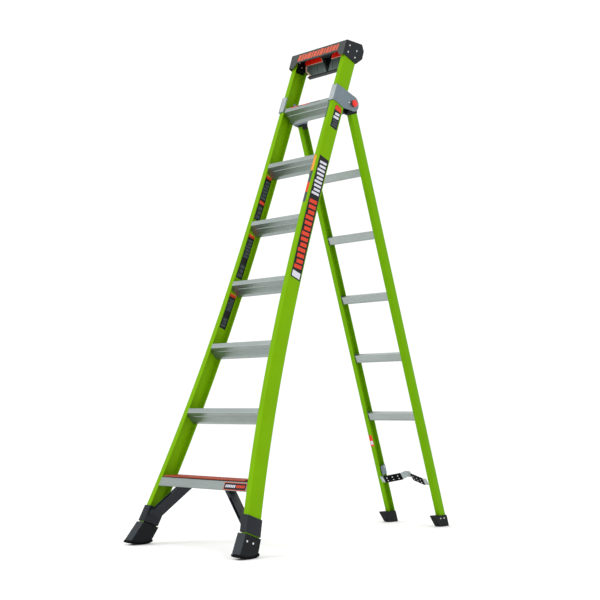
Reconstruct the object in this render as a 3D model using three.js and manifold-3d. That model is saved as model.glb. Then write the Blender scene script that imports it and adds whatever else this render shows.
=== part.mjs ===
// Four-legged combination ladder, 8-foot class, standing open as a stepladder.
//
// Units are millimetres, +Z is up, -Y is the climbing side, +X is the climber's right.
// The front section is modelled along its own rails: "s" runs up the rail from the floor
// and "d" runs backwards, square to the rail. The rear section uses the same idea.
// The finished ladder is moved so that the middle of its footprint is the origin.

import * as THREE from 'three';
import { mergeVertices } from 'three/addons/utils/BufferGeometryUtils.js';
import Module from 'manifold-3d';

const wasm = await Module();
wasm.setup();

// ---------------------------------------------------------------- driving dimensions

const GAP = 0.35; // clearance between touching pieces
const FRONT_LEAN = THREE.MathUtils.degToRad(20);
const REAR_LEAN = THREE.MathUtils.degToRad(19);

const PITCH = 304.8; // one foot between treads
const FIRST_STEP = 312; // front top edge of the lowest step, along the rail
const STEP_COUNT = 7;

const FRONT_RAIL = { depth: 77, flange: 27.5, wall: 4, bottom: 54, top: 2430 };
const TOP_HALF_WIDTH = 174; // outside of the front rails above the flare
const FLARE_WIDTH = 182.4; // how much further out each rail stands at the floor
const FLARE_HEIGHT = 2000;
const FLARE_POWER = 2.5;
const FLARE_KNOT = 125; // spacing of the sections that the rails are drawn through

const STEP = { depth: 75, lip: 22, drop: 46, wall: 2.4 };
const BOTTOM_BEAM = { lower: 9, face: 48, wall: 3 };
const TREAD = { thick: 3, skirt: 1.5 };
const TREAD_SPRING = { x: 120, d: 37, outer: 8, inner: 5.5 };

const PIVOT = { d: 126, s: 2175 }; // hinge centre in the front section
const PIVOT_REAR = { d: 28, s: 2107 }; // the same centre in the rear section
const HINGE = { foot: 2121, head: 2205, wrap: 4.3, plate: 4, inner: 3.2, radius: 37 };
const PIN = { radius: 8, inner: 116, bore: 30 };
const BUTTON = { radius: 17, thick: 7, stem: 4, standOff: 5.6 };

const REAR_RAIL = { half: 173, depth: 45, flange: 26, wall: 3.5, bottom: 16, top: 2059.6 };
const REAR_FIRST_RUNG = 585; // top of the lowest rear rung, level with step 2
const REAR_RUNG = { front: 4.2, depth: 36, height: 38, wall: 2.2 };

const PAD_AXIS = { d: 66, z: 2236, shaft: 5 }; // wall pad axis under the cap
const PAD = { half: 143, front: 8, core: 14, back: 20, height: 44, sill: 6, chamfer: 26, spine: 40 };
const NOTCH = { foot: 4.5, top: 36 }; // half the pad's V gap, at its foot and at its top
const JOURNAL_INNER = 60; // where the short shafts in the pad's ends begin

const REAR_FOOT = { inner: 144.5, outer: 178.5, top: 55 };

// materials: colour, roughness, metalness
const LIME = ['#7ab414', 0.45, 0];
const ALUMINIUM = ['#a9b2ae', 0.4, 0.9];
const ZINC = ['#8fa0a2', 0.45, 0.8];
const BLACK = ['#24282a', 0.6, 0];
const CHARCOAL = ['#45494a', 0.6, 0];
const RUBBER = ['#18191a', 0.85, 0];
const RED = ['#e8301a', 0.55, 0];
const TERRACOTTA = ['#b8482e', 0.55, 0.3];
const STEEL = ['#b4b8ba', 0.3, 1];

// ---------------------------------------------------------------- frames

const sinF = Math.sin(FRONT_LEAN);
const cosF = Math.cos(FRONT_LEAN);
const sinR = Math.sin(REAR_LEAN);
const cosR = Math.cos(REAR_LEAN);

// a point of the ladder's side view (y, z) in the front section's (d, s)
const toFront = (y, z) => [y * cosF - z * sinF, y * sinF + z * cosF];
// and back
const fromFront = (d, s) => [d * cosF + s * sinF, s * cosF - d * sinF];

// the rear rails meet the floor where both sections share the hinge centre
const [pivotY, pivotZ] = fromFront(PIVOT.d, PIVOT.s);
const rearGroundY = pivotY + PIVOT_REAR.s * sinR - PIVOT_REAR.d * cosR;
const rearGroundZ = pivotZ - PIVOT_REAR.s * cosR - PIVOT_REAR.d * sinR;

const toRear = (y, z) => {
  const back = y - rearGroundY;
  const up = z - rearGroundZ;
  return [back * cosR + up * sinR, up * cosR - back * sinR];
};

const ladder = new THREE.Group();
const frontSection = new THREE.Group();
frontSection.rotation.x = -FRONT_LEAN;
const rearSection = new THREE.Group();
rearSection.rotation.x = REAR_LEAN;
rearSection.position.set(0, rearGroundY, rearGroundZ);
ladder.add(frontSection, rearSection);

// half the outside width of the front section on the flare's curve
function flareAt(s) {
  const below = Math.max(0, 1 - s / FLARE_HEIGHT);
  return TOP_HALF_WIDTH + FLARE_WIDTH * below ** FLARE_POWER;
}

// the same width on the chords between knots, which every neighbour of the rail follows
function halfWidth(s) {
  const knot = Math.floor(s / FLARE_KNOT) * FLARE_KNOT;
  return THREE.MathUtils.mapLinear(s, knot, knot + FLARE_KNOT, flareAt(knot), flareAt(knot + FLARE_KNOT));
}

// ---------------------------------------------------------------- shape helpers

const shapeOf = (points) => new THREE.Shape(points.map(([a, b]) => new THREE.Vector2(a, b)));

function extruded(shape, length, curveSegments = 8) {
  return new THREE.ExtrudeGeometry(shape, { depth: length, bevelEnabled: false, curveSegments });
}

// a side-view shape (y, z) drawn out from x0 to x1
function alongX(shape, x0, x1) {
  const geometry = extruded(shape, x1 - x0);
  const turn = new THREE.Matrix4().makeBasis(
    new THREE.Vector3(0, 1, 0),
    new THREE.Vector3(0, 0, 1),
    new THREE.Vector3(1, 0, 0),
  );
  return geometry.applyMatrix4(turn).translate(x0, 0, 0);
}

// a front-view shape (x, z) drawn out from y0 to y1
function alongY(shape, y0, y1) {
  return extruded(shape, y1 - y0).rotateX(Math.PI / 2).translate(0, y1, 0);
}

function box(x0, x1, y0, y1, z0, z1) {
  const geometry = new THREE.BoxGeometry(x1 - x0, y1 - y0, z1 - z0);
  return geometry.translate((x0 + x1) / 2, (y0 + y1) / 2, (z0 + z1) / 2);
}

// a round bar along X, centred on (y, z)
function bar(radius, x0, x1, y, z, sides = 24) {
  const geometry = new THREE.CylinderGeometry(radius, radius, x1 - x0, sides);
  return geometry.rotateZ(-Math.PI / 2).translate((x0 + x1) / 2, y, z);
}

// a sleeve along X: profile of [radius, x] pairs turned about the line through (y, z)
function turned(profile, y, z, sides = 24) {
  const points = profile.map(([radius, x]) => new THREE.Vector2(radius, x));
  const geometry = new THREE.LatheGeometry(points, sides);
  return geometry.rotateZ(-Math.PI / 2).translate(0, y, z);
}

const sleeve = (inner, outer, x0, x1, y, z) =>
  turned([[inner, x0], [outer, x0], [outer, x1], [inner, x1], [inner, x0]], y, z);

// pulls the sides of a convex outline in by a wall thickness
function inset(points, wall) {
  const count = points.length;
  return points.map((_, i) => {
    const [before, here, after] = [points[(i + count - 1) % count], points[i], points[(i + 1) % count]];
    const a = new THREE.Vector2(here[0] - before[0], here[1] - before[1]).normalize();
    const b = new THREE.Vector2(after[0] - here[0], after[1] - here[1]).normalize();
    const reach = wall / (1 + a.dot(b));
    return [here[0] - (a.y + b.y) * reach, here[1] + (a.x + b.x) * reach];
  });
}

// a tube of one wall thickness from a convex, counter-clockwise outline
function hollowShape(points, wall) {
  const shape = shapeOf(points);
  shape.holes.push(new THREE.Path(inset(points, wall).map(([a, b]) => new THREE.Vector2(a, b))));
  return shape;
}

// closed skin over a stack of equal, counter-clockwise loops of [x, y, z]
function loft(loops) {
  const count = loops[0].length;
  const positions = loops.flat(2);
  const faces = [];
  for (let k = 0; k + 1 < loops.length; k += 1) {
    for (let i = 0; i < count; i += 1) {
      const a = k * count + i;
      const b = k * count + ((i + 1) % count);
      faces.push(a, b, b + count, a, b + count, a + count);
    }
  }
  const outline = loops[0].map(([x, y]) => new THREE.Vector2(x, y));
  const last = (loops.length - 1) * count;
  for (const [a, b, c] of THREE.ShapeUtils.triangulateShape(outline, [])) {
    faces.push(a, c, b, last + a, last + b, last + c);
  }
  const geometry = new THREE.BufferGeometry();
  geometry.setAttribute('position', new THREE.Float32BufferAttribute(positions, 3));
  geometry.setIndex(faces);
  return geometry;
}

function solid(geometry) {
  const bare = geometry.clone();
  bare.deleteAttribute('normal');
  bare.deleteAttribute('uv');
  const merged = mergeVertices(bare, 1e-4);
  return new wasm.Manifold(new wasm.Mesh({
    numProp: 3,
    vertProperties: new Float32Array(merged.attributes.position.array),
    triVerts: new Uint32Array(merged.index.array),
  }));
}

function geometryOf(manifold) {
  const mesh = manifold.getMesh();
  const geometry = new THREE.BufferGeometry();
  geometry.setAttribute('position', new THREE.BufferAttribute(mesh.vertProperties, 3));
  geometry.setIndex(new THREE.BufferAttribute(mesh.triVerts, 1));
  return geometry;
}

const joined = (...parts) => geometryOf(parts.map(solid).reduce((sum, part) => sum.add(part)));
const cut = (body, ...tools) =>
  geometryOf(tools.map(solid).reduce((rest, tool) => rest.subtract(tool), solid(body)));

// the same piece for the other side of the ladder
function mirrored(geometry) {
  const copy = mergeVertices(geometry.clone().deleteAttribute('normal').deleteAttribute('uv'), 1e-4);
  copy.scale(-1, 1, 1);
  const index = copy.index.array;
  for (let i = 0; i < index.length; i += 3) {
    [index[i], index[i + 1]] = [index[i + 1], index[i]];
  }
  return copy;
}

function place(parent, name, geometry, [color, roughness, metalness]) {
  const material = new THREE.MeshStandardMaterial({ color, roughness, metalness, flatShading: true });
  const mesh = new THREE.Mesh(geometry, material);
  mesh.name = name;
  parent.add(mesh);
}

// a right-hand piece and its left-hand twin
function placePair(parent, name, geometry, finish) {
  place(parent, `${name}_right`, geometry, finish);
  place(parent, `${name}_left`, mirrored(geometry), finish);
}

// ---------------------------------------------------------------- rails

// channel outline at one height: web outside, flanges turned inwards
function channelOutline(half, rail, z, grow = 0, beyond = 0) {
  const tip = half - rail.flange - grow;
  const web = half - rail.wall - grow;
  const out = half + grow + beyond;
  const near = rail.wall + grow;
  const far = rail.depth - rail.wall - grow;
  const low = -grow;
  const high = rail.depth + grow;
  const outside = [[tip, low], [out, low], [out, high], [tip, high]];
  const inside = [[tip, far], [web, far], [web, near], [tip, near]];
  return [...outside, ...inside].map(([x, y]) => [x, y, z]);
}

function frontChannel(from, to, grow, beyond) {
  const stations = [from];
  for (let s = Math.ceil((from + 1) / FLARE_KNOT) * FLARE_KNOT; s < to - 1; s += FLARE_KNOT) {
    if (s <= FLARE_HEIGHT) stations.push(s);
  }
  stations.push(to);
  return loft(stations.map((s) => channelOutline(halfWidth(s), FRONT_RAIL, s, grow, beyond)));
}

function rearChannel(from, to, grow) {
  return loft([from, to].map((s) => channelOutline(REAR_RAIL.half, REAR_RAIL, s, grow)));
}

placePair(frontSection, 'front_rail', frontChannel(FRONT_RAIL.bottom, FRONT_RAIL.top), LIME);
placePair(rearSection, 'rear_rail', rearChannel(REAR_RAIL.bottom, REAR_RAIL.top), LIME);

// ---------------------------------------------------------------- steps

// trims a long crosspiece to fit inside both front rails between two heights
function fitBetweenFrontRails(geometry, from, to) {
  const right = frontChannel(from, to, GAP, 60);
  return cut(geometry, right, mirrored(right));
}

// a tread lies level when the ladder stands open, so it climbs along the leaning rail
const levelRise = STEP.depth * Math.tan(FRONT_LEAN);

// a tube with a level top, a low front face and an underside that slopes down to the back
function stepShape(s) {
  const { depth, lip, drop, wall } = STEP;
  return hollowShape([[0, s - lip], [depth, s - drop], [depth, s + levelRise], [0, s]], wall);
}

for (let level = 2; level <= STEP_COUNT; level += 1) {
  const s = FIRST_STEP + (level - 1) * PITCH;
  const shape = stepShape(s);
  if (level === STEP_COUNT) {
    // the top step ends against the hinges' inner plates
    const half = TOP_HALF_WIDTH - FRONT_RAIL.flange - HINGE.inner - 3 * GAP;
    place(frontSection, `step_${level}`, alongX(shape, -half, half), ALUMINIUM);
  } else {
    const half = halfWidth(s) + 20;
    const step = fitBetweenFrontRails(alongX(shape, -half, half), s - 80, s + 60);
    place(frontSection, `step_${level}`, step, ALUMINIUM);
  }
}

// ---------------------------------------------------------------- bottom step

const beamTop = FIRST_STEP - BOTTOM_BEAM.lower;
const beamBottom = FIRST_STEP - BOTTOM_BEAM.face;

function bottomBeam() {
  const outline = [
    [0, beamBottom],
    [STEP.depth, beamBottom + levelRise],
    [STEP.depth, beamTop + levelRise],
    [0, beamTop],
  ];
  const half = halfWidth(FIRST_STEP) + 40;
  const beam = alongX(hollowShape(outline, BOTTOM_BEAM.wall), -half, half);
  return fitBetweenFrontRails(beam, beamBottom - 30, FIRST_STEP + 60);
}

// level plate above the beam with a short skirt at its front edge
function bottomTread() {
  const rise = (d) => FIRST_STEP + d * Math.tan(FRONT_LEAN);
  const thick = TREAD.thick / cosF;
  const edge = 3;
  const outline = [
    [-edge, rise(-edge) - thick - TREAD.skirt],
    [-0.6, rise(-edge) - thick - TREAD.skirt],
    [-0.6, rise(-0.6) - thick],
    [STEP.depth, rise(STEP.depth) - thick],
    [STEP.depth, rise(STEP.depth)],
    [-edge, rise(-edge)],
  ];
  const inside = halfWidth(FIRST_STEP + 60) - FRONT_RAIL.flange - 2;
  return alongX(shapeOf(outline), -inside, inside);
}

// a short upright compression spring, drawn as the sleeve it fills
function treadSpring() {
  const [y, z] = fromFront(TREAD_SPRING.d, beamTop + TREAD_SPRING.d * Math.tan(FRONT_LEAN));
  const height = BOTTOM_BEAM.lower * cosF - TREAD.thick;
  const { inner, outer } = TREAD_SPRING;
  const profile = [[inner, GAP], [outer, GAP], [outer, height - GAP], [inner, height - GAP], [inner, GAP]];
  const geometry = new THREE.LatheGeometry(profile.map(([r, h]) => new THREE.Vector2(r, h)), 16);
  return geometry.rotateX(Math.PI / 2).translate(TREAD_SPRING.x, y, z);
}

place(frontSection, 'bottom_step_beam', bottomBeam(), ALUMINIUM);
place(frontSection, 'bottom_tread', bottomTread(), TERRACOTTA);
placePair(ladder, 'tread_spring', treadSpring(), STEEL);

// ---------------------------------------------------------------- corner braces and boots

// a block that follows the slope of the flaring rail between two heights
function leaningBlock(insideOffset, outsideOffset, d0, d1, from, to) {
  const loop = (s) => {
    const half = halfWidth(s);
    const inner = half - insideOffset;
    const outer = half + outsideOffset;
    return [[inner, d0, s], [outer, d0, s], [outer, d1, s], [inner, d1, s]];
  };
  return loft([loop(from), loop((from + to) / 2), loop(to)]);
}

// a collar round the rail with an arm that slopes up to the underside of the beam
function cornerBrace() {
  const bottom = 106;
  const top = 175;
  const collar = leaningBlock(FRONT_RAIL.flange + 8, 5, -5, FRONT_RAIL.depth + 3, bottom, top);
  const arm = alongY(shapeOf([[292, 130], [292, 148], [142, 285], [122, 285]]), 4, FRONT_RAIL.depth - 14);
  const underside = (d) => beamBottom - GAP + d * Math.tan(FRONT_LEAN);
  const beam = alongX(shapeOf([[-20, underside(-20)], [80, underside(80)], [80, 340], [-20, 340]]), 90, 310);
  return cut(joined(collar, cut(arm, beam)), frontChannel(bottom - 30, 260, GAP, 0));
}

// shoe outline in side view, above or below the sole's top line
function bootOutline() {
  const shape = new THREE.Shape();
  const start = toFront(-21, 21);
  shape.moveTo(...start);
  shape.quadraticCurveTo(...toFront(8, 9), ...toFront(34, 9));
  shape.lineTo(...toFront(48, 9));
  shape.quadraticCurveTo(...toFront(70, 10), ...toFront(84, 18));
  shape.lineTo(FRONT_RAIL.depth + 3, 101);
  shape.lineTo(-7, 101);
  return shape;
}

function soleOutline() {
  const shape = new THREE.Shape();
  shape.moveTo(...toFront(-25, 12));
  shape.quadraticCurveTo(...toFront(6, 0), ...toFront(32, 0));
  shape.lineTo(...toFront(50, 0));
  shape.quadraticCurveTo(...toFront(74, 1), ...toFront(88, 10));
  shape.lineTo(...toFront(86, 17.5));
  shape.quadraticCurveTo(...toFront(71, 9.6), ...toFront(49, 8.6));
  shape.lineTo(...toFront(33, 8.6));
  shape.quadraticCurveTo(...toFront(8, 8.6), ...toFront(-22.5, 20.5));
  return shape;
}

// a side-view shape given width and skewed to follow the flaring rail near the floor
function alongFlare(shape, inside, outside) {
  const slope = (halfWidth(100) - halfWidth(0)) / 100;
  const skew = new THREE.Matrix4().makeShear(0, 0, 0, 0, slope, 0);
  const half = halfWidth(0);
  return alongX(shape, half - inside, half + outside).applyMatrix4(skew);
}

const boot = cut(alongFlare(bootOutline(), 41, 6), frontChannel(FRONT_RAIL.bottom - GAP, 140, GAP, 0));
placePair(frontSection, 'corner_brace', cornerBrace(), CHARCOAL);
placePair(frontSection, 'front_boot', boot, BLACK);
placePair(frontSection, 'front_sole', alongFlare(soleOutline(), 43, 8), RUBBER);

// ---------------------------------------------------------------- top cap

const CAP_TOP = 2302;
const CAP_FRONT = -17; // front face ahead of the rails
const CAP_WALL = 4;
const CAP_LOW = 2365; // where the front face covers the rail tops
const CAP_MID = 2390; // its lower edge between the rails
const CAP_HALF = TOP_HALF_WIDTH;

// height along the rail of a level line at CAP_TOP
const capTopAt = (d) => (CAP_TOP + d * sinF) / cosF;

function topCap() {
  const frontTop = capTopAt(CAP_FRONT) - 1;
  const face = alongY(shapeOf([
    [-CAP_HALF, CAP_LOW],
    [-CAP_HALF + 24, CAP_LOW],
    [-CAP_HALF + 40, CAP_MID],
    [CAP_HALF - 40, CAP_MID],
    [CAP_HALF - 24, CAP_LOW],
    [CAP_HALF, CAP_LOW],
    [CAP_HALF, frontTop],
    [-CAP_HALF, frontTop],
  ]), CAP_FRONT, CAP_FRONT + CAP_WALL);
  const back = 88;
  const lipBottom = toFront(938, 2268);
  const lipTop = toFront(938, CAP_TOP - 10);
  const roof = alongX(shapeOf([
    [CAP_FRONT, capTopAt(CAP_FRONT) - CAP_WALL],
    [back - 4, capTopAt(back) - CAP_WALL * 1.4],
    [lipTop[0] - CAP_WALL, lipTop[1] - 2],
    [lipBottom[0] - CAP_WALL, lipBottom[1]],
    lipBottom,
    lipTop,
    [back, capTopAt(back)],
    [CAP_FRONT + 3, capTopAt(CAP_FRONT + 3)],
    [CAP_FRONT, capTopAt(CAP_FRONT) - 2],
  ]), -CAP_HALF, CAP_HALF);
  return joined(face, roof);
}

function capEndPlate() {
  const outline = [
    [CAP_FRONT + 1, CAP_LOW],
    [FRONT_RAIL.depth, CAP_LOW],
    [108, 2411],
    [106, 2455],
    [84, capTopAt(84) - 0.5],
    [CAP_FRONT - 1, capTopAt(CAP_FRONT) - 1.5],
  ];
  return alongX(shapeOf(outline), CAP_HALF + GAP, CAP_HALF + GAP + 6);
}

// black gusset inside the rail that carries the wall pad's journal
const [padY, padZ] = [(PAD_AXIS.z + PAD_AXIS.d * sinF) / cosF * sinF + PAD_AXIS.d * cosF, PAD_AXIS.z];
const padAxisS = toFront(padY, padZ)[1];

function capInnerPlate() {
  const web = CAP_HALF - FRONT_RAIL.wall - GAP;
  const outline = [[6, 2384], [28, 2370], [72.6, 2384], [72.6, 2428], [6, 2428]];
  const plate = alongX(shapeOf(outline), web - 4, web);
  return cut(plate, bar(PAD_AXIS.shaft + GAP, web - 10, web + 6, PAD_AXIS.d, padAxisS));
}

place(frontSection, 'top_cap', topCap(), CHARCOAL);
placePair(frontSection, 'cap_end_plate', capEndPlate(), CHARCOAL);
placePair(frontSection, 'cap_inner_plate', capInnerPlate(), BLACK);

// ---------------------------------------------------------------- wall pad

// the pad closes on a pole or a corner with a V gap; this is half the gap's width at a height
const notchAt = (rise) => THREE.MathUtils.mapLinear(rise, PAD.sill, 2 * PAD.height, NOTCH.foot, NOTCH.top);

function wallPadBody() {
  const low = padZ - PAD.height + PAD.sill;
  const high = padZ + PAD.height;
  const outline = shapeOf([
    [notchAt(PAD.sill), low],
    [PAD.half - PAD.chamfer, low],
    [PAD.half, low + PAD.chamfer],
    [PAD.half, high],
    [notchAt(2 * PAD.height), high],
  ]);
  const block = alongY(outline, padY - PAD.front, padY + PAD.core);
  return cut(block, bar(PAD_AXIS.shaft + GAP, JOURNAL_INNER - 1, PAD.half + 5, padY, padZ));
}

// plate behind both halves of the pad, with a sill under them
function wallPadSpine() {
  const bottom = padZ - PAD.height;
  const plate = box(-PAD.half, PAD.half, padY + PAD.core + 0.5, padY + PAD.back, bottom, padZ + PAD.spine);
  const sillTop = bottom + PAD.sill - GAP;
  const sill = box(-PAD.half + 12, PAD.half - 12, padY - PAD.front, padY + PAD.core + 1, bottom, sillTop);
  return joined(plate, sill);
}

function wallPadRubber() {
  const front = padY - PAD.front - GAP;
  const rise = PAD.height + 16;
  return alongY(shapeOf([
    [notchAt(rise) + 2, padZ + 16],
    [PAD.half - 1, padZ + 16],
    [PAD.half - 1, padZ + PAD.height],
    [notchAt(2 * PAD.height) + 2, padZ + PAD.height],
  ]), front - 5.5, front);
}

const journalOuter = CAP_HALF - FRONT_RAIL.wall - 2 * GAP;
const journal = bar(PAD_AXIS.shaft, JOURNAL_INNER, journalOuter, padY, padZ, 20);
placePair(ladder, 'wall_pad_body', wallPadBody(), ZINC);
place(ladder, 'wall_pad_spine', wallPadSpine(), BLACK);
placePair(ladder, 'wall_pad_rubber', wallPadRubber(), RED);
placePair(ladder, 'wall_pad_journal', journal, STEEL);

// ---------------------------------------------------------------- hinges

const outerFace = TOP_HALF_WIDTH + GAP;
const innerFace = TOP_HALF_WIDTH - FRONT_RAIL.flange - GAP;

// plate outline that ends round about the hinge centre
function hingeOutline(points, startAngle, endAngle) {
  const shape = shapeOf(points);
  shape.absarc(PIVOT.d, PIVOT.s, HINGE.radius, startAngle, endAngle, false);
  return shape;
}

function hingeOuterPlate() {
  const outline = hingeOutline(
    [[-HINGE.wrap - GAP, HINGE.head], [-HINGE.wrap - GAP, HINGE.foot], [74, HINGE.foot]],
    -Math.PI * 0.4,
    Math.PI * 0.55,
  );
  const plate = alongX(outline, outerFace, outerFace + HINGE.plate);
  const wrap = box(innerFace, outerFace + HINGE.plate, -HINGE.wrap - GAP, -GAP, HINGE.foot, HINGE.head);
  const hole = bar(PIN.radius + GAP, outerFace - 5, outerFace + 10, PIVOT.d, PIVOT.s);
  return cut(joined(plate, wrap), hole);
}

function hingeInnerPlate() {
  const outline = hingeOutline(
    [[44, 2196], [44, 2110], [58, 2096], [90, 2096]],
    -Math.PI * 0.4,
    Math.PI * 0.55,
  );
  const plate = alongX(outline, innerFace - HINGE.inner, innerFace);
  return cut(plate, bar(PIN.radius + GAP, innerFace - 10, innerFace + 5, PIVOT.d, PIVOT.s));
}

// hollow pin that carries the lock button's stem in its outer end
function hingePin() {
  const outside = outerFace + HINGE.plate;
  const bore = BUTTON.stem + GAP;
  const profile = [
    [0, PIN.inner],
    [PIN.radius, PIN.inner],
    [PIN.radius, outside],
    [bore, outside],
    [bore, outside - PIN.bore],
    [0, outside - PIN.bore],
  ];
  return turned(profile, PIVOT_REAR.d, PIVOT_REAR.s);
}

function lockButton() {
  const face = outerFace + HINGE.plate + BUTTON.standOff;
  const { radius, thick, stem } = BUTTON;
  const profile = [
    [0, face - 27],
    [stem, face - 27],
    [stem, face],
    [radius, face],
    [radius, face + thick - 2],
    [radius - 2.5, face + thick],
    [0, face + thick],
  ];
  return turned(profile, PIVOT.d, PIVOT.s);
}

function lockSpring() {
  const inside = outerFace + HINGE.plate + GAP;
  return sleeve(BUTTON.stem + 1, 7.5, inside, inside + BUTTON.standOff - 2 * GAP, PIVOT.d, PIVOT.s);
}

placePair(frontSection, 'hinge_outer_plate', hingeOuterPlate(), ZINC);
placePair(frontSection, 'hinge_inner_plate', hingeInnerPlate(), ZINC);
placePair(rearSection, 'hinge_pin', hingePin(), STEEL);
placePair(frontSection, 'lock_button', lockButton(), RED);
placePair(frontSection, 'lock_spring', lockSpring(), STEEL);

// ---------------------------------------------------------------- rear section

// black fitting that plugs the rear rail's top and turns on the hinge pin
function rearTopFitting() {
  const head = new THREE.Shape();
  head.moveTo(0, 2060);
  head.lineTo(REAR_RAIL.depth, 2060);
  head.lineTo(PIVOT_REAR.d + 31, PIVOT_REAR.s - 5);
  head.absarc(PIVOT_REAR.d, PIVOT_REAR.s, 31, 0, Math.PI, false);
  head.lineTo(-10, 2098);
  head.lineTo(-18, 2068);
  const inner = REAR_RAIL.half - REAR_RAIL.flange;
  const block = alongX(head, inner, REAR_RAIL.half + 0.6);
  const web = REAR_RAIL.half - REAR_RAIL.wall - GAP;
  const wall = REAR_RAIL.wall + GAP;
  const tongue = box(inner, web, wall, REAR_RAIL.depth - wall, 2045, 2065);
  const hole = bar(PIN.radius + GAP, inner - 10, REAR_RAIL.half + 10, PIVOT_REAR.d, PIVOT_REAR.s);
  return cut(joined(block, tongue), hole);
}

function rearRung(top) {
  const { front, depth, height, wall } = REAR_RUNG;
  const outline = [
    [front, top - height + 6],
    [front + 7, top - height],
    [front + depth - 7, top - height],
    [front + depth, top - height + 7],
    [front + depth, top],
    [front, top],
  ];
  const half = REAR_RAIL.half - REAR_RAIL.wall - GAP;
  return alongX(hollowShape(outline, wall), -half, half);
}

// round tube on the hinge axis, bushed at both ends for the pins
function pivotRung() {
  const half = innerFace - HINGE.inner - GAP;
  const bush = PIN.inner - 4;
  const bore = PIN.radius + GAP;
  const profile = [
    [bore, -half], [16, -half], [16, half], [bore, half],
    [bore, bush], [13.5, bush], [13.5, -bush], [bore, -bush], [bore, -half],
  ];
  return turned(profile, PIVOT_REAR.d, PIVOT_REAR.s);
}

function rearFoot() {
  const { inner, outer, top } = REAR_FOOT;
  const outline = [
    toRear(1494, 7),
    toRear(1502, 0),
    toRear(1571, 0),
    toRear(1552, top),
    toRear(1455, top),
  ];
  return cut(alongX(shapeOf(outline), inner, outer), rearChannel(REAR_RAIL.bottom - GAP, 140, GAP));
}

placePair(rearSection, 'rear_top_fitting', rearTopFitting(), BLACK);
for (let level = 2; level < STEP_COUNT; level += 1) {
  const top = REAR_FIRST_RUNG + (level - 2) * PITCH;
  place(rearSection, `rear_rung_${level}`, rearRung(top), ALUMINIUM);
}
place(rearSection, `rear_rung_${STEP_COUNT}`, pivotRung(), ALUMINIUM);
placePair(rearSection, 'rear_foot', rearFoot(), BLACK);

// ---------------------------------------------------------------- pole strap

const STRAP = { s: 236, tilt: THREE.MathUtils.degToRad(20), height: 38, thick: 4, apex: 50 };

// half of the strap's centre line in plan: rail end, pad, apex
const strapLine = [[REAR_RAIL.half - 26.5 - GAP, 0], [128, 0], [32, 33], [16, STRAP.apex]];

// the strap rises towards its apex, so that it lies level when the ladder is leaned as a straight one
function strapPlane(geometry) {
  return geometry.rotateX(STRAP.tilt).translate(0, -4, STRAP.s);
}

function poleStrap() {
  const front = [...strapLine, ...strapLine.slice().reverse().map(([x, y]) => [-x, y])];
  const back = front.map(([x, y], i) => {
    const bend = i === 1 || i === front.length - 2 ? 0.8 : 1.6;
    const side = i < front.length / 2 ? 1 : -1;
    const along = i === 0 || i === front.length - 1 ? 0 : bend;
    return [x + side * along, y + STRAP.thick];
  });
  const outline = [...front, ...back.reverse()];
  return strapPlane(extruded(shapeOf(outline), STRAP.height).translate(0, 0, -STRAP.height / 2));
}

// rubber block that follows the slope of the strap's arm
function strapPad() {
  const [outerEnd, innerEnd] = [strapLine[1], strapLine[2]];
  const slope = Math.atan2(innerEnd[1] - outerEnd[1], outerEnd[0] - innerEnd[0]);
  const length = Math.hypot(innerEnd[1] - outerEnd[1], outerEnd[0] - innerEnd[0]);
  const block = box(-length + 2, -2, -7, -GAP, -STRAP.height / 2 - 1, STRAP.height / 2 + 1);
  return strapPlane(block.rotateZ(-slope).translate(outerEnd[0], outerEnd[1], 0));
}

function strapBracket() {
  const face = REAR_RAIL.half - REAR_RAIL.flange - GAP;
  return box(face - 3.2, face, 8, REAR_RAIL.depth - 1, 250, 300);
}

place(rearSection, 'pole_strap', poleStrap(), ZINC);
placePair(rearSection, 'strap_pad', strapPad(), RUBBER);
placePair(rearSection, 'strap_bracket', strapBracket(), ZINC);

// ---------------------------------------------------------------- origin

// the middle of the footprint becomes the origin
function standOnOrigin(group) {
  group.updateMatrixWorld(true);
  const bounds = new THREE.Box3().setFromObject(group, true);
  group.position.y = -(bounds.min.y + bounds.max.y) / 2;
  group.position.z = -bounds.min.z;
}

standOnOrigin(ladder);

export default ladder;
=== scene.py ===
"""Visual model of a fibreglass combination ladder, standing open as a stepladder."""
import math

import bmesh
import bpy
from mathutils import Matrix, Vector


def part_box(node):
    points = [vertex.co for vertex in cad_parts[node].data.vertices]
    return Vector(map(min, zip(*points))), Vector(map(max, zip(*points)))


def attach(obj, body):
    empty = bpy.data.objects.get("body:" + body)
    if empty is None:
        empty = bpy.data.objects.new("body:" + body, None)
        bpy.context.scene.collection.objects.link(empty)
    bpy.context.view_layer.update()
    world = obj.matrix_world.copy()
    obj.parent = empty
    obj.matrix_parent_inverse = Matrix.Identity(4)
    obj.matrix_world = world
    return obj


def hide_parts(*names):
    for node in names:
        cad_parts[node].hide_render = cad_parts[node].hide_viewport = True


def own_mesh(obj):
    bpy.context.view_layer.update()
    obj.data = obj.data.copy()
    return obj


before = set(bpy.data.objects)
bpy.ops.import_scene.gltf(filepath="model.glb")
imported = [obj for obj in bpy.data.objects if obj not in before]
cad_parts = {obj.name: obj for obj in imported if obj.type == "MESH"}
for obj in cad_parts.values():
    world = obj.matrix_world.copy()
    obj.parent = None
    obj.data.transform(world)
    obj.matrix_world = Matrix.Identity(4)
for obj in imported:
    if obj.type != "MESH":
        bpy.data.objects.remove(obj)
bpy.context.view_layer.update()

# ---------------------------------------------------------------- dimensions, millimetres

MM = 0.001
CLEAR = 0.35
FRONT_LEAN = math.radians(20)
REAR_LEAN = math.radians(19)
FRONT_TAN = math.tan(FRONT_LEAN)
PITCH = 304.8
FIRST_STEP = 312.0
LEVELS = range(2, 8)
STEP_DEPTH = 75.0
STEP_LIP = 22.0
STEP_DROP = 46.0

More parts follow.
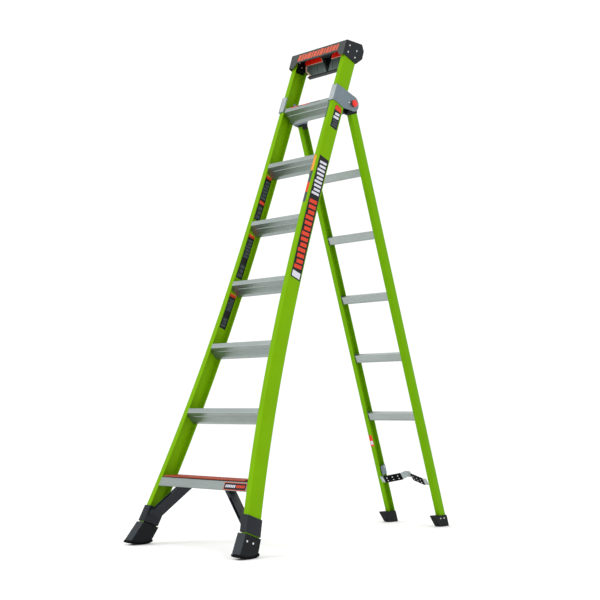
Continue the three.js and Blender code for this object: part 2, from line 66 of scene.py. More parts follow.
RAIL_DEPTH = 77.0
RAIL_FLANGE = 27.5
RAIL_WALL = 4.0
REAR_HALF = 173.0
REAR_DEPTH = 45.0
REAR_FLANGE = 26.0
REAR_WALL = 3.5

FRONT_ORIGIN = (0, -773.0, 0)
REAR_ORIGIN = (0, 748.792, -0.587)
HINGE_FRONT = (126.0, 2175.0)
HINGE_REAR = (28.0, 2107.0)
HINGE_RADIUS = 37.0
PIN_HOLE = 8.35
SHAFT_HOLE = 5.3


def section(origin, lean):
    """A section's own (x, d, s), in millimetres, to the row frame."""
    move = Matrix.Translation(Vector(origin) * MM)
    return move @ Matrix.Rotation(lean, 4, "X") @ Matrix.Scale(MM, 4)


FRONT = section(FRONT_ORIGIN, -FRONT_LEAN)
REAR = section(REAR_ORIGIN, REAR_LEAN)
LEVEL = Matrix.Scale(MM, 4)


def half_width(s):
    """Half the outside width of the flared front rails."""
    return 174.0 + 182.4 * max(0.0, 1 - s / 2000.0) ** 2.5


def front_point(y, z):
    """A point of the upright side view as the front section's (d, s)."""
    y -= FRONT_ORIGIN[1]
    c, n = math.cos(FRONT_LEAN), math.sin(FRONT_LEAN)
    return (y * c - z * n, y * n + z * c)


def rear_point(y, z):
    """A point of the upright side view as the rear section's (d, s)."""
    y -= REAR_ORIGIN[1]
    z -= REAR_ORIGIN[2]
    c, n = math.cos(REAR_LEAN), math.sin(REAR_LEAN)
    return (y * c + z * n, z * c - y * n)


# ---------------------------------------------------------------- outlines and shapes

def fillet(points, radius, steps=3):
    """Rounds the corners of a closed outline. radius is one number, or one per corner."""
    rounded = []
    count = len(points)
    for i, point in enumerate(points):
        r = radius if isinstance(radius, (int, float)) else radius[i]
        here = Vector(point)
        before = Vector(points[i - 1]) - here
        after = Vector(points[(i + 1) % count]) - here
        if r <= 0:
            rounded.append(tuple(here))
            continue
        reach = r / math.tan(before.angle(after) / 2)
        reach = min(reach, 0.48 * before.length, 0.48 * after.length)
        start = here + before.normalized() * reach
        end = here + after.normalized() * reach
        for k in range(steps + 1):
            t = k / steps
            rounded.append(tuple(start * (1 - t) ** 2 + here * (2 * t * (1 - t)) + end * t ** 2))
    return rounded


def arc(centre, radius, start, end, steps=12):
    """Points on an arc, angles in degrees."""
    angles = [math.radians(start + (end - start) * k / steps) for k in range(steps + 1)]
    return [(centre[0] + radius * math.cos(a), centre[1] + radius * math.sin(a)) for a in angles]


def oblong(a0, a1, b0, b1):
    """A rectangle's corners, along the first direction and then the second."""
    return [(a0, b0), (a1, b0), (a1, b1), (a0, b1)]


def loft(loops):
    """A closed skin over a stack of equal loops of (x, y, z)."""
    count = len(loops[0])
    verts = [tuple(p) for loop in loops for p in loop]
    faces = []
    for k in range(len(loops) - 1):
        for i in range(count):
            a, b = k * count + i, k * count + (i + 1) % count
            faces.append((a, b, b + count, a + count))
    last = (len(loops) - 1) * count
    faces.append(tuple(reversed(range(count))))
    faces.append(tuple(range(last, last + count)))
    return verts, faces


def along_x(outline, x0, x1):
    """A side-view outline of (d, s), drawn out along x."""
    return loft([[(x, d, s) for d, s in outline] for x in (x0, x1)])


def along_d(outline, d0, d1):
    """A front-view outline of (x, s), drawn out along d."""
    return loft([[(x, d, s) for x, s in outline] for d in (d0, d1)])


def along_s(outline, s0, s1):
    """A plan outline of (x, d), drawn out along s."""
    return loft([[(x, d, s) for x, d in outline] for s in (s0, s1)])


def block(x0, x1, d0, d1, s0, s1):
    return along_s(oblong(x0, x1, d0, d1), s0, s1)


def basis(direction):
    """Two directions square to the given one."""
    n = Vector(direction).normalized()
    side = n.orthogonal().normalized()
    return n, side, n.cross(side)


def turned(profile, centre, direction, sides=28):
    """A profile of (radius, height) pairs turned about a line. Radius 0 closes an end."""
    n, u, v = basis(direction)
    centre = Vector(centre)
    verts, rings = [], []
    for radius, height in profile:
        base = centre + n * height
        if radius <= 1e-6:
            rings.append([len(verts)] * sides)
            verts.append(tuple(base))
            continue
        rings.append(list(range(len(verts), len(verts) + sides)))
        for k in range(sides):
            a = 2 * math.pi * k / sides
            verts.append(tuple(base + u * (radius * math.cos(a)) + v * (radius * math.sin(a))))
    faces = []
    for low, high in zip(rings, rings[1:]):
        for k in range(sides):
            m = (k + 1) % sides
            ring = [low[k], low[m], high[m], high[k]]
            face = tuple(dict.fromkeys(ring))
            if len(face) > 2:
                faces.append(face)
    return verts, faces


def drill(radius, start, end, centre, sides=28):
    """A round bar along x that cuts a hole."""
    return turned([(0, start), (radius, start), (radius, end), (0, end)], centre, (1, 0, 0), sides)


def dome(centre, direction, radius=4.6, height=2.2):
    """A rivet head standing on a face."""
    profile = [(0, -1), (radius * 0.8, -1), (radius, 0), (radius, height * 0.12)]
    profile += [(radius * 0.9, height * 0.55), (radius * 0.62, height * 0.86), (radius * 0.3, height * 0.98)]
    return turned(profile + [(0, height)], centre, direction, 20)


def bolt(centre, direction, radius=5.0, height=4.0):
    """A hexagon head on a round washer."""
    wide = radius * 1.35
    washer = turned([(0, -0.5), (wide, -0.5), (wide, 0.9), (0, 0.9)], centre, direction, 24)
    head = turned([(0, 0.5), (radius, 0.5), (radius, height - 0.6), (radius * 0.86, height), (0, height)],
                  centre, direction, 6)
    return [washer, head]


def coil(centre, direction, radius, wire, height, turns, steps=20):
    """A round-wire spring between two levels."""
    n, u, v = basis(direction)
    loops = []
    total = int(turns * steps)
    for k in range(total + 1):
        a = 2 * math.pi * k / steps
        out = u * math.cos(a) + v * math.sin(a)
        lift = wire + (height - 2 * wire) * k / total
        middle = Vector(centre) + out * radius + n * lift
        loops.append([middle + out * (wire * math.cos(b)) + n * (wire * math.sin(b))
                      for b in (2 * math.pi * j / 8 for j in range(8))])
    return loft(loops)


def moved(shape, matrix):
    return [tuple(matrix @ Vector(v)) for v in shape[0]], *shape[1:]


def flipped(shape):
    """The same shape for the other side of the ladder."""
    return [(-x, d, s) for x, d, s in shape[0]], *shape[1:]


def painted(shape, index):
    """A shape whose faces take one of the object's materials."""
    return shape[0], shape[1], index


# ---------------------------------------------------------------- objects

def raw(shapes, matrix):
    """One mesh object from several shapes."""
    bm = bmesh.new()
    for shape in shapes:
        index = shape[2] if len(shape) > 2 else 0
        verts = [bm.verts.new(matrix @ Vector(v)) for v in shape[0]]
        fresh = []
        for face in shape[1]:
            made = bm.faces.new([verts[i] for i in face])
            made.material_index = index
            fresh.append(made)
        bmesh.ops.recalc_face_normals(bm, faces=fresh)
    mesh = bpy.data.meshes.new("shape")
    bm.to_mesh(mesh)
    bm.free()
    obj = bpy.data.objects.new("shape", mesh)
    bpy.context.scene.collection.objects.link(obj)
    return obj


def apply_modifiers(obj):
    """Makes what the modifiers do part of the mesh."""
    graph = bpy.context.evaluated_depsgraph_get()
    mesh = bpy.data.meshes.new_from_object(obj.evaluated_get(graph))
    obj.modifiers.clear()
    obj.data = mesh


def boolean(obj, shapes, matrix, operation="DIFFERENCE"):
    """Cuts shapes out of an object, or adds them to it."""
    for shape in shapes:
        tool = raw([shape], matrix)
        modifier = obj.modifiers.new("cut", "BOOLEAN")
        modifier.operation = operation
        modifier.solver = "EXACT"
        modifier.object = tool
        apply_modifiers(obj)
        bpy.data.objects.remove(tool)


def dress(obj, name, materials, body, slot, replaced=(), bevel=0.0, segments=2, smooth=32):
    """Names a finished object, gives it its look and puts it on its body."""
    obj.name = name
    obj.data.name = name
    indices = [polygon.material_index for polygon in obj.data.polygons]
    obj.data.materials.clear()
    for material in materials:
        obj.data.materials.append(material)
    for polygon, index in zip(obj.data.polygons, indices):
        polygon.material_index = min(index, len(materials) - 1)
        polygon.use_smooth = True
    obj.data.set_sharp_from_angle(angle=math.radians(smooth))
    if bevel:
        modifier = obj.modifiers.new("edge", "BEVEL")
        modifier.width = bevel * MM
        modifier.segments = segments
        modifier.limit_method = "ANGLE"
        modifier.angle_limit = math.radians(35)
        modifier.harden_normals = True
        modifier.use_clamp_overlap = True
    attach(obj, body)
    if replaced:
        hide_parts(*replaced)


def unchanged(shape):
    return shape


SIDES = (("right", unchanged), ("left", flipped))


def pair(name, shapes, matrix, materials, body, slot, nodes=(), cuts=(), joins=(), **look):
    """A right-hand piece and its left-hand twin."""
    for side, turn in SIDES:
        obj = raw([turn(s) for s in shapes], matrix)
        boolean(obj, [turn(s) for s in joins], matrix, "UNION")
        boolean(obj, [turn(s) for s in cuts], matrix)
        where = body.format(side)
        dress(obj, f"{name}_{side}", materials, where, slot, [f"{n}_{side}" for n in nodes], **look)


# ---------------------------------------------------------------- materials

def linear(colour):
    """A hex colour as linear values."""
    values = [int(colour[i:i + 2], 16) / 255 for i in (0, 2, 4)]
    return [v / 12.92 if v <= 0.04045 else ((v + 0.055) / 1.055) ** 2.4 for v in values] + [1.0]


def scaled(colour, factor):
    return [min(1.0, c * factor) for c in colour[:3]] + [1.0]


def finish(name, colour, rough, metallic=0.0, lean=0.0, streak=(1, 1, 1), grain=60.0, vary=0.08,
           bump=0.15, bump_depth=0.0003, rough_vary=0.08, gloss=0.2, speck=None):
    """A procedural finish: broad colour variation, fine grain in the bump, uneven gloss."""
    material = bpy.data.materials.new(name)
    material.use_nodes = True
    nodes, links = material.node_tree.nodes, material.node_tree.links
    shader = nodes["Principled BSDF"]
    shader.inputs["Metallic"].default_value = metallic
    shader.inputs["Specular IOR Level"].default_value = gloss
    place = nodes.new("ShaderNodeTexCoord")
    turn = nodes.new("ShaderNodeMapping")
    turn.vector_type = "TEXTURE"
    turn.inputs["Rotation"].default_value = (lean, 0, 0)
    stretch = nodes.new("ShaderNodeMapping")
    stretch.inputs["Scale"].default_value = streak
    links.new(place.outputs["Object"], turn.inputs["Vector"])
    links.new(turn.outputs["Vector"], stretch.inputs["Vector"])

    def noise(scale, detail, source):
        texture = nodes.new("ShaderNodeTexNoise")
        texture.inputs["Scale"].default_value = scale
        texture.inputs["Detail"].default_value = detail
        links.new(source, texture.inputs["Vector"])
        return texture.outputs["Fac"]

    def ramp(source, low, high):
        node = nodes.new("ShaderNodeMapRange")
        node.inputs["From Min"].default_value = 0.3
        node.inputs["From Max"].default_value = 0.7
        node.inputs["To Min"].default_value = low
        node.inputs["To Max"].default_value = high
        links.new(source, node.inputs["Value"])
        return node.outputs["Result"]

    def mix(factor, a, b):
        node = nodes.new("ShaderNodeMix")
        node.data_type = "RGBA"
        links.new(factor, node.inputs["Factor"])
        for socket, value in (("A", a), ("B", b)):
            target = [i for i in node.inputs if i.name == socket and i.type == "RGBA"][0]
            if isinstance(value, list):
                target.default_value = value
            else:
                links.new(value, target)
        return [o for o in node.outputs if o.type == "RGBA"][0]

    base = linear(colour)
    broad = noise(7.0, 3.0, turn.outputs["Vector"])
    fine = noise(grain, 4.0, stretch.outputs["Vector"])
    cloud = mix(ramp(broad, 0.0, 1.0), scaled(base, 1 - vary), scaled(base, 1 + vary))
    tint = mix(ramp(fine, 0.0, 0.5), cloud, scaled(base, 1 - 2 * vary))
    if speck:
        dots = ramp(noise(grain * 4, 2.0, stretch.outputs["Vector"]), -1.2, 1.0)
        clamp = nodes.new("ShaderNodeClamp")
        links.new(dots, clamp.inputs["Value"])
        tint = mix(clamp.outputs["Result"], tint, linear(speck))
    links.new(tint, shader.inputs["Base Color"])
    links.new(ramp(fine, rough - rough_vary, rough + rough_vary), shader.inputs["Roughness"])
    relief = nodes.new("ShaderNodeBump")
    relief.inputs["Strength"].default_value = bump
    relief.inputs["Distance"].default_value = bump_depth
    links.new(fine, relief.inputs["Height"])
    links.new(relief.outputs["Normal"], shader.inputs["Normal"])
    return material


LONG = (9, 9, 0.6)
ACROSS = (0.5, 8, 8)
lime_front = finish("lime_front", "6e9f00", 0.42, lean=-FRONT_LEAN, streak=LONG, grain=30, vary=0.05,
                    gloss=0.04)
# The rear rails' lime is a slightly darker, greener copy of the front rails' colour: painted shade.
lime_rear_shaded = finish("lime_rear_shaded", "669b00", 0.42, lean=REAR_LEAN, streak=LONG, grain=30, vary=0.05,
                   gloss=0.04)
step_metal = finish("step_metal", "939c9a", 0.36, metallic=0.85, streak=ACROSS, grain=60, vary=0.06,
                    bump=0.25)
beam_metal = finish("beam_metal", "858d8b", 0.48, metallic=0.7, streak=ACROSS, grain=40, vary=0.05)
rung_metal = finish("rung_metal", "9ca4a2", 0.38, metallic=0.85, streak=ACROSS, grain=60, vary=0.05,
                    bump=0.25)
zinc = finish("zinc", "76838a", 0.45, metallic=0.75, grain=90, vary=0.07, rough_vary=0.12)
# bright_zinc is the strap band's own plating, and also the painted highlight on the hinge wraps' front
# faces.
bright_zinc = finish("bright_zinc", "a9b1b3", 0.34, metallic=0.9, grain=70, vary=0.05, rough_vary=0.12)
steel = finish("steel", "b0b4b6", 0.25, metallic=1.0, grain=80, vary=0.04)
rivet_steel = finish("rivet_steel", "d2d6d6", 0.3, metallic=0.6, grain=120, vary=0.04)
spring_steel = finish("spring_steel", "9ea2a6", 0.3, metallic=1.0, grain=90, vary=0.05)
cap_paint = finish("cap_paint", "414645", 0.55, metallic=0.2, streak=ACROSS, grain=70, vary=0.09,
                   speck="525856")
cap_end = finish("cap_end", "24282a", 0.6, grain=160, vary=0.1, bump=0.35, gloss=0.12)
black_mould = finish("black_mould", "101315", 0.45, grain=220, vary=0.14, bump=0.35, gloss=0.12)
# A lighter slate copy of the black moulding for the boots' forward faces: a painted highlight where the
# front facets catch the light.
boot_lit_front = finish("boot_lit_front", "2b3136", 0.45, grain=220, vary=0.12, bump=0.35, gloss=0.15)
slate_mould = finish("slate_mould", "1d2127", 0.45, grain=220, vary=0.12, bump=0.35, gloss=0.15)
black_plate = finish("black_plate_finish", "0a0b0c", 0.5, grain=120, vary=0.12, bump=0.2, gloss=0.12)
sole_rubber = finish("sole_rubber_finish", "08090a", 0.85, grain=260, vary=0.18, bump=0.5,
                     rough_vary=0.05, gloss=0.1)
red_rubber = finish("red_rubber", "f82008", 0.5, grain=200, vary=0.05, bump=0.3)
red_button = finish("red_button", "de2412", 0.35, grain=160, vary=0.05, gloss=0.4)
pad_grey = finish("pad_grey", "515c58", 0.5, metallic=0.1, grain=120, vary=0.1, bump=0.25)
cream_rim = finish("cream_rim", "dcb8a6", 0.5, grain=140, vary=0.05)
tread_red = finish("tread_red", "93381f", 0.5, streak=ACROSS, grain=60, vary=0.1, bump=0.3)
film_black = finish("film_black", "0c0d0f", 0.4, grain=110, vary=0.15, bump=0.05)
film_white = finish("film_white", "c6c7d2", 0.4, grain=110, vary=0.04, bump=0.05)
film_orange = finish("film_orange", "cc3a1c", 0.4, grain=110, vary=0.06, bump=0.05)
film_grey = finish("film_grey", "3c464a", 0.4, grain=110, vary=0.12, bump=0.05)
film_amber = finish("film_amber", "d68a34", 0.4, grain=110, vary=0.06, bump=0.05)
bar_orange = finish("bar_orange", "cf5a40", 0.45, grain=110, vary=0.12, bump=0.05)

# ---------------------------------------------------------------- rails


def channel(half, depth, flange, wall, s, outer=4.5, grow=0.0, beyond=0.0):
    """A rounded channel at one height, its flanges turned inwards."""
    tip, out, web = half - flange - grow, half + grow + beyond, half - wall - grow
    low, high, near, far = -grow, depth + grow, wall + grow, depth - wall - grow
    corners = [(tip, low), (out, low), (out, high), (tip, high)]
    corners += [(tip, far), (web, far), (web, near), (tip, near)]
    radii = [1.4, outer, outer, 1.4, 1.4, 2.5, 2.5, 1.4]
    if grow:
        return [(x, d, s) for x, d in corners]
    return [(x, d, s) for x, d in fillet(corners, radii)]


def front_channel(s0, s1, step, grow=0.0, beyond=0.0):
    """A flaring front rail between two heights."""
    count = max(1, round((s1 - s0) / step))
    levels = [s0 + (s1 - s0) * k / count for k in range(count + 1)]
    return loft([channel(half_width(s), RAIL_DEPTH, RAIL_FLANGE, RAIL_WALL, s, grow=grow, beyond=beyond)
                 for s in levels])


def rear_channel(s0, s1, grow=0.0):
    """A straight rear rail between two heights."""
    return loft([channel(REAR_HALF, REAR_DEPTH, REAR_FLANGE, REAR_WALL, s, outer=3.5, grow=grow)
                 for s in (s0, s1)])


pair("climbing_rail", [front_channel(54, 2430, 40)], FRONT, [lime_front], "front_section", "fibreglass",
     ["front_rail"], smooth=40)
pair("folding_rail", [rear_channel(16, 2059.6)], REAR, [lime_rear_shaded], "rear_section", "fibreglass",
     ["rear_rail"], smooth=40)

# ---------------------------------------------------------------- steps


def deck(s, d, below=0.0):
    """A point on the level top of a step, or square below it."""
    return (d + below * math.sin(FRONT_LEAN), s + d * FRONT_TAN - below * math.cos(FRONT_LEAN))


def serrations(s, start, end, pitch, depth):
    """Grip ridges across a level top, from front to back."""
    ridge = ((0.0, 0), (0.42, 0), (0.55, depth), (0.88, depth))
    line = []
    d = start
    while d + pitch <= end + 0.01:
        line += [deck(s, d + pitch * part, below) for part, below in ridge]
        d += pitch
    return line + [deck(s, d)]


def step_outline(s):
    """A ribbed extrusion: serrated top, grooved front face, underside that slopes down to the back."""
    back, lip, drop = STEP_DEPTH, s - STEP_LIP, s - STEP_DROP
    outline = [(0.9, s - 0.2)] + serrations(s, 3.5, 71.5, 4.25, 0.9)
    outline += [(back, s + back * FRONT_TAN - 0.6), (back, drop + 1.2), (back - 1.2, drop + 0.2)]
    outline += [(56, s - 42.2), (55, s - 40.6), (30, s - 30.4), (29, s - 31.2)]
    outline += [(26, s - 30.2), (25, s - 27.6), (7, s - 22.6), (6, s - 23.4), (0.8, lip), (0, lip + 0.8)]
    for k in range(3):
        g = s - 16.5 + 4.6 * k
        outline += [(0, g), (0.55, g + 0.4), (0.55, g + 1.6), (0, g + 2.0)]
    outline += [(0, s - 1.2)]
    return outline


for level in LEVELS:
    s = FIRST_STEP + (level - 1) * PITCH
    if level == 7:
        step = raw([along_x(step_outline(s), -142.2, 142.2)], FRONT)
    else:
        reach = half_width(s - 50) + 8
        step = raw([along_x(step_outline(s), -reach, reach)], FRONT)
        rail = front_channel(s - 90, s + 70, 40, grow=0.45, beyond=60)
        boolean(step, [rail, flipped(rail)], FRONT)
    dress(step, f"tread_{level}", [step_metal], "front_section", "step_metal", [f"step_{level}"], smooth=25)

# ---------------------------------------------------------------- lowest step

BEAM_TOP = FIRST_STEP - 9
BEAM_LOW = FIRST_STEP - 48
BEAM_RISE = STEP_DEPTH * FRONT_TAN
beam_outline = [(0, BEAM_LOW), (STEP_DEPTH, BEAM_LOW + BEAM_RISE), (STEP_DEPTH, BEAM_TOP + BEAM_RISE)]
beam_outline = fillet(beam_outline + [(0, BEAM_TOP)], 1.6)
beam_reach = half_width(BEAM_LOW) + 6
beam = raw([along_x(beam_outline, -beam_reach, beam_reach)], FRONT)
beam_rail = front_channel(BEAM_LOW - 40, FIRST_STEP + 80, 40, grow=0.45, beyond=60)
grooves = [along_x([(-1, g), (0.5, g + 0.3), (0.5, g + 1.0), (-1, g + 1.3)], -300, 300)
           for g in (BEAM_LOW + 1.8, BEAM_TOP - 2.9)]
boolean(beam, [beam_rail, flipped(beam_rail)] + grooves, FRONT)
dress(beam, "lowest_step_beam", [beam_metal], "front_section", "step_metal", ["bottom_step_beam"], smooth=25)

tread_reach = half_width(FIRST_STEP + 60) - RAIL_FLANGE - 2.2
thick = 3 / math.cos(FRONT_LEAN)
tread_lip = FIRST_STEP - 3 * FRONT_TAN
tread_outline = [(-3, tread_lip - 0.8), (-2.2, FIRST_STEP - 2.2 * FRONT_TAN)]
tread_outline += serrations(FIRST_STEP, 1.0, 73.0, 6.0, 0.8)
tread_outline += [(STEP_DEPTH, FIRST_STEP + BEAM_RISE - 0.8), (STEP_DEPTH, FIRST_STEP + BEAM_RISE - thick)]
tread_outline += [(-0.6, FIRST_STEP - 0.6 * FRONT_TAN - thick), (-0.6, tread_lip - thick - 1.5)]
tread_outline += [(-2.6, tread_lip - thick - 1.5), (-3, tread_lip - thick - 1.1)]
tread = raw([along_x(tread_outline, -tread_reach, tread_reach)], FRONT)
dress(tread, "sprung_tread", [tread_red], "bottom_tread", "tread_cover", ["bottom_tread"], smooth=25)

for side, _ in SIDES:
    low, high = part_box(f"tread_spring_{side}")
    middle = (low + high) / 2
    foot = Vector((middle.x, middle.y, low.z)) / MM
    wave = raw([coil(foot, (0, 0, 1), 7.0, 0.6, (high.z - low.z) / MM, 2.5)], LEVEL)
    dress(wave, f"tread_coil_{side}", [spring_steel], "front_section", "spring_wire",
          [f"tread_spring_{side}"], smooth=60)
    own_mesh(wave)

# ---------------------------------------------------------------- corner braces

COLLAR = (106.0, 175.0)


def collar_loop(s):
    """The collar's outline round the rail at one height."""
    inner, outer = half_width(s) - 35.5, half_width(s) + 5
    corners = [(inner, -5), (outer, -5), (outer, RAIL_DEPTH + 3), (inner, RAIL_DEPTH + 3)]
    return [(x, d, s) for x, d in fillet(corners, 5)]


brace_arm = fillet([(292, 130), (292, 148), (142, 285), (122, 285)], 2)
brace_run = Vector((142 - 292, 285 - 148)).normalized()
brace_side = Vector((-brace_run.y, brace_run.x))
brace_foot = Vector((292, 139)) + brace_run * 28


def on_brace(along, across):
    """A point on the face of the diagonal arm."""
    return tuple(brace_foot + brace_run * along + brace_side * across)


def slanted_rib(along):
    return [on_brace(along, -5), on_brace(along + 2.4, -5), on_brace(along + 9, 5), on_brace(along + 6.6, 5)]


trough = fillet([on_brace(0, -4.2), on_brace(118, -4.2), on_brace(118, 4.2), on_brace(0, 4.2)], 2)
beam_wedge = [(d, BEAM_LOW - 0.5 + d * FRONT_TAN) for d in (-20, 80)] + [(80, 340), (-20, 340)]
brace_ribs = [along_d(slanted_rib(along), 9, 58) for along in (18, 44, 70, 96)]
collar_band = loft([collar_loop(s) for s in (COLLAR[0], 130, 152, COLLAR[1])])
pair("corner_brace_moulding", [collar_band], FRONT, [slate_mould], "front_section", "brace_casting",
     ["corner_brace"], joins=[along_d(brace_arm, 4, 63)],
     cuts=[along_d(trough, -1, 28), along_d(trough, 38, 80), along_x(beam_wedge, 90, 310),
           front_channel(70, 262, 40, grow=CLEAR)],
     bevel=1.0)
pair("corner_brace_ribs", brace_ribs, FRONT, [slate_mould], "front_section", "brace_casting", bevel=0.5)

# ---------------------------------------------------------------- boots and soles

FLARE_SLOPE = (half_width(0) - half_width(100)) / 100


def skewed(outline, inside, outside):
    """A side-view outline given width and skewed to follow the flaring rail near the floor."""
    near, far = half_width(0) - inside, half_width(0) + outside
    return loft([[(x - FLARE_SLOPE * s, d, s) for d, s in outline] for x in (near, far)])


def curve(a, b, c, steps=8):
    """Points on a quadratic curve, without its first point."""
    a, b, c = Vector(a), Vector(b), Vector(c)
    ts = [k / steps for k in range(1, steps + 1)]
    return [tuple(a * (1 - t) ** 2 + b * (2 * t * (1 - t)) + c * t ** 2) for t in ts]


def floor_point(y, z):
    """A point near the front boots, y from the front edge of the ladder's own layout."""
    return front_point(y + FRONT_ORIGIN[1], z)


boot_outline = [floor_point(-21, 21)]
boot_outline += curve(floor_point(-21, 21), floor_point(8, 9.2), floor_point(34, 9.2))
boot_outline += [floor_point(48, 9.2)]
boot_outline += curve(floor_point(48, 9.2), floor_point(70, 10.2), floor_point(84, 18.2))
boot_outline += [(RAIL_DEPTH + 3, 101), (-7, 101)]
boot_cut = front_channel(54 - CLEAR, 140, 40, grow=CLEAR)
pair("boot", [skewed(boot_outline, 41, 6)], FRONT, [black_mould], "front_section", "boot_moulding",
     ["front_boot"], cuts=[boot_cut], bevel=2.6, segments=3)
# Faces turned to the front take the lighter copy of the black moulding: a painted highlight on the facets
# that face the light.
FACES_FORWARD = -0.6
for side, _ in SIDES:
    boot = bpy.data.objects[f"boot_{side}"].data
    boot.materials.append(boot_lit_front)
    for polygon in boot.polygons:
        if polygon.normal.y < FACES_FORWARD:
            polygon.material_index = 1

sole_outline = [floor_point(-25, 12)]
sole_outline += curve(floor_point(-25, 12), floor_point(6, 0.0), floor_point(32, 0.0))
sole_outline += [floor_point(50, 0.0)]
sole_outline += curve(floor_point(50, 0.0), floor_point(74, 1), floor_point(88, 10))
sole_outline += [floor_point(86, 17.5)]
sole_outline += curve(floor_point(86, 17.5), floor_point(71, 9.6), floor_point(49, 8.7))
sole_outline += [floor_point(33, 8.7)]
sole_outline += curve(floor_point(33, 8.7), floor_point(8, 8.7), floor_point(-22.5, 20.5))
sole_cuts = []
for k in range(8):
    y = -14 + 12 * k
    top = 2.6 + abs(k - 3.5) * 0.9
    tip = [floor_point(y, -3), floor_point(y + 4, -3), floor_point(y + 3.2, top), floor_point(y + 0.8, top)]
    sole_cuts.append(along_x(tip, 280, 380))
pair("sole", [skewed(sole_outline, 43, 8)], FRONT, [sole_rubber], "front_section", "sole_rubber",
     ["front_sole"], cuts=sole_cuts, bevel=0.7)

# ---------------------------------------------------------------- top cap

CAP_HALF = 174.0
CAP_TOP = 2302.0
CAP_FRONT = -17.0
CAP_LOW = 2365.0
CAP_MID = 2390.0


def cap_top(d):
    return (CAP_TOP + d * math.sin(FRONT_LEAN)) / math.cos(FRONT_LEAN)


front_top = cap_top(CAP_FRONT)
face_outline = [(-CAP_HALF, CAP_LOW), (-CAP_HALF + 24, CAP_LOW), (-CAP_HALF + 40, CAP_MID)]
face_outline += [(CAP_HALF - 40, CAP_MID), (CAP_HALF - 24, CAP_LOW), (CAP_HALF, CAP_LOW)]
face_outline += [(CAP_HALF, front_top - 3), (-CAP_HALF, front_top - 3)]
cap_face = along_d(fillet(face_outline, [0, 5, 6, 6, 5, 0, 0, 0]), CAP_FRONT, CAP_FRONT + 4)
lip_low, lip_high = floor_point(938, 2268), floor_point(938, CAP_TOP - 10)
roof = [(CAP_FRONT, front_top - 4), (84, cap_top(88) - 5.6), (lip_high[0] - 4, lip_high[1] - 2)]
roof += [(lip_low[0] - 4, lip_low[1]), lip_low, lip_high, (88, cap_top(88))]
roof += [(CAP_FRONT + 5, cap_top(CAP_FRONT + 5))]
roof += curve(roof[-1], (CAP_FRONT, front_top), (CAP_FRONT, front_top - 4), 5)[:-1]


def cap_groove(d):
    """A shallow groove across the cap's top."""
    profile = ((0, 1), (0.7, -0.7), (2.1, -0.7), (2.8, 1))
    outline = [(d + across, cap_top(d + across) + rise) for across, rise in profile]
    return along_x(outline, -CAP_HALF - 2, CAP_HALF + 2)


cap = raw([along_x(roof, -CAP_HALF, CAP_HALF)], FRONT)
boolean(cap, [cap_face], FRONT, "UNION")
boolean(cap, [cap_groove(CAP_FRONT + back) for back in range(14, 95, 8)], FRONT)
dress(cap, "cap_extrusion", [cap_paint], "front_section", "cap_metal", ["top_cap"])

end_outline = [(CAP_FRONT + 1, CAP_LOW), (RAIL_DEPTH, CAP_LOW), (108, 2411), (106, 2455)]
end_outline += [(84, cap_top(84) - 0.5), (CAP_FRONT - 1, front_top - 1.5)]
end_plate = along_x(fillet(end_outline, [3, 4, 10, 10, 6, 3], 5), CAP_HALF + CLEAR, CAP_HALF + CLEAR + 4.4)
raised_outline = [(CAP_FRONT + 9, CAP_LOW + 8), (RAIL_DEPTH - 3, CAP_LOW + 8), (99, 2412), (98, 2450)]
raised_outline += [(81, cap_top(81) - 8), (CAP_FRONT + 8, front_top - 8)]
raised = along_x(fillet(raised_outline, [3, 4, 8, 8, 5, 3], 5), CAP_HALF + 3, CAP_HALF + CLEAR + 5.4)
pair("cap_end_cover", [end_plate], FRONT, [cap_end], "front_section", "cap_metal", ["cap_end_plate"],
     joins=[raised], bevel=0.4)
cap_rivets = [dome((CAP_HALF + CLEAR + 5.4, d, s), (1, 0, 0), 4.2, 1.4)
              for s, d in ((2425, 8), (2427, 60), (2388, 8), (2389, 59))]
pair("cap_rivets", cap_rivets, FRONT, [rivet_steel], "front_section", "bright_steel")

bars = []
x = -131.0
for k, width in enumerate((19, 11, 16, 22, 9, 18, 12, 21, 10, 17, 13, 20, 11)):
    low = CAP_MID + (7.5, 6, 9)[k % 3]
    high = CAP_MID + (41, 43, 39)[k % 3]
    bars.append(along_d([(x, low), (x + width, low), (x + width + 5, high), (x + 5, high)],
                        CAP_FRONT - 0.35, CAP_FRONT + 0.1))
    x += width + 5.0
band = raw(bars, FRONT)
dress(band, "cap_bars", [bar_orange], "front_section", "pad_rubber")

journal_low, journal_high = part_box("wall_pad_journal_right")
shaft_y, shaft_z = [v / MM for v in ((journal_low + journal_high) / 2).yz]
shaft_d, shaft_s = front_point(shaft_y, shaft_z)
web = CAP_HALF - RAIL_WALL - CLEAR
gusset = fillet([(6, 2384), (28, 2370), (72.6, 2384), (72.6, 2428), (6, 2428)], [5, 6, 5, 0, 4])
pair("shaft_gusset", [along_x(gusset, web - 3.6, web)], FRONT, [black_plate], "front_section",
     "black_plate", ["cap_inner_plate"],
     cuts=[drill(SHAFT_HOLE, -12, 4, (web, shaft_d, shaft_s))], bevel=0.5)
cheek = [(RAIL_WALL + 1, 2386), (26, 2373), (60, 2384), (60, 2426), (RAIL_WALL + 1, 2426)]
pair("gusset_cheek", [along_x(fillet(cheek, 5), web - 24, web - 4)], FRONT, [black_plate], "front_section",
     "black_plate", cuts=[drill(SHAFT_HOLE + 1.1, -40, 4, (web, shaft_d, shaft_s))], bevel=1.2)
gusset_rivets = [dome((web - 24, d, s), (-1, 0, 0), 4.4, 1.8) for s, d in ((2412, 12), (2398, 34))]
pair("gusset_rivets", gusset_rivets, FRONT, [rivet_steel], "front_section", "bright_steel")
radius = (journal_high.z - journal_low.z) / 2 / MM
x0, x1 = journal_low.x / MM, journal_high.x / MM
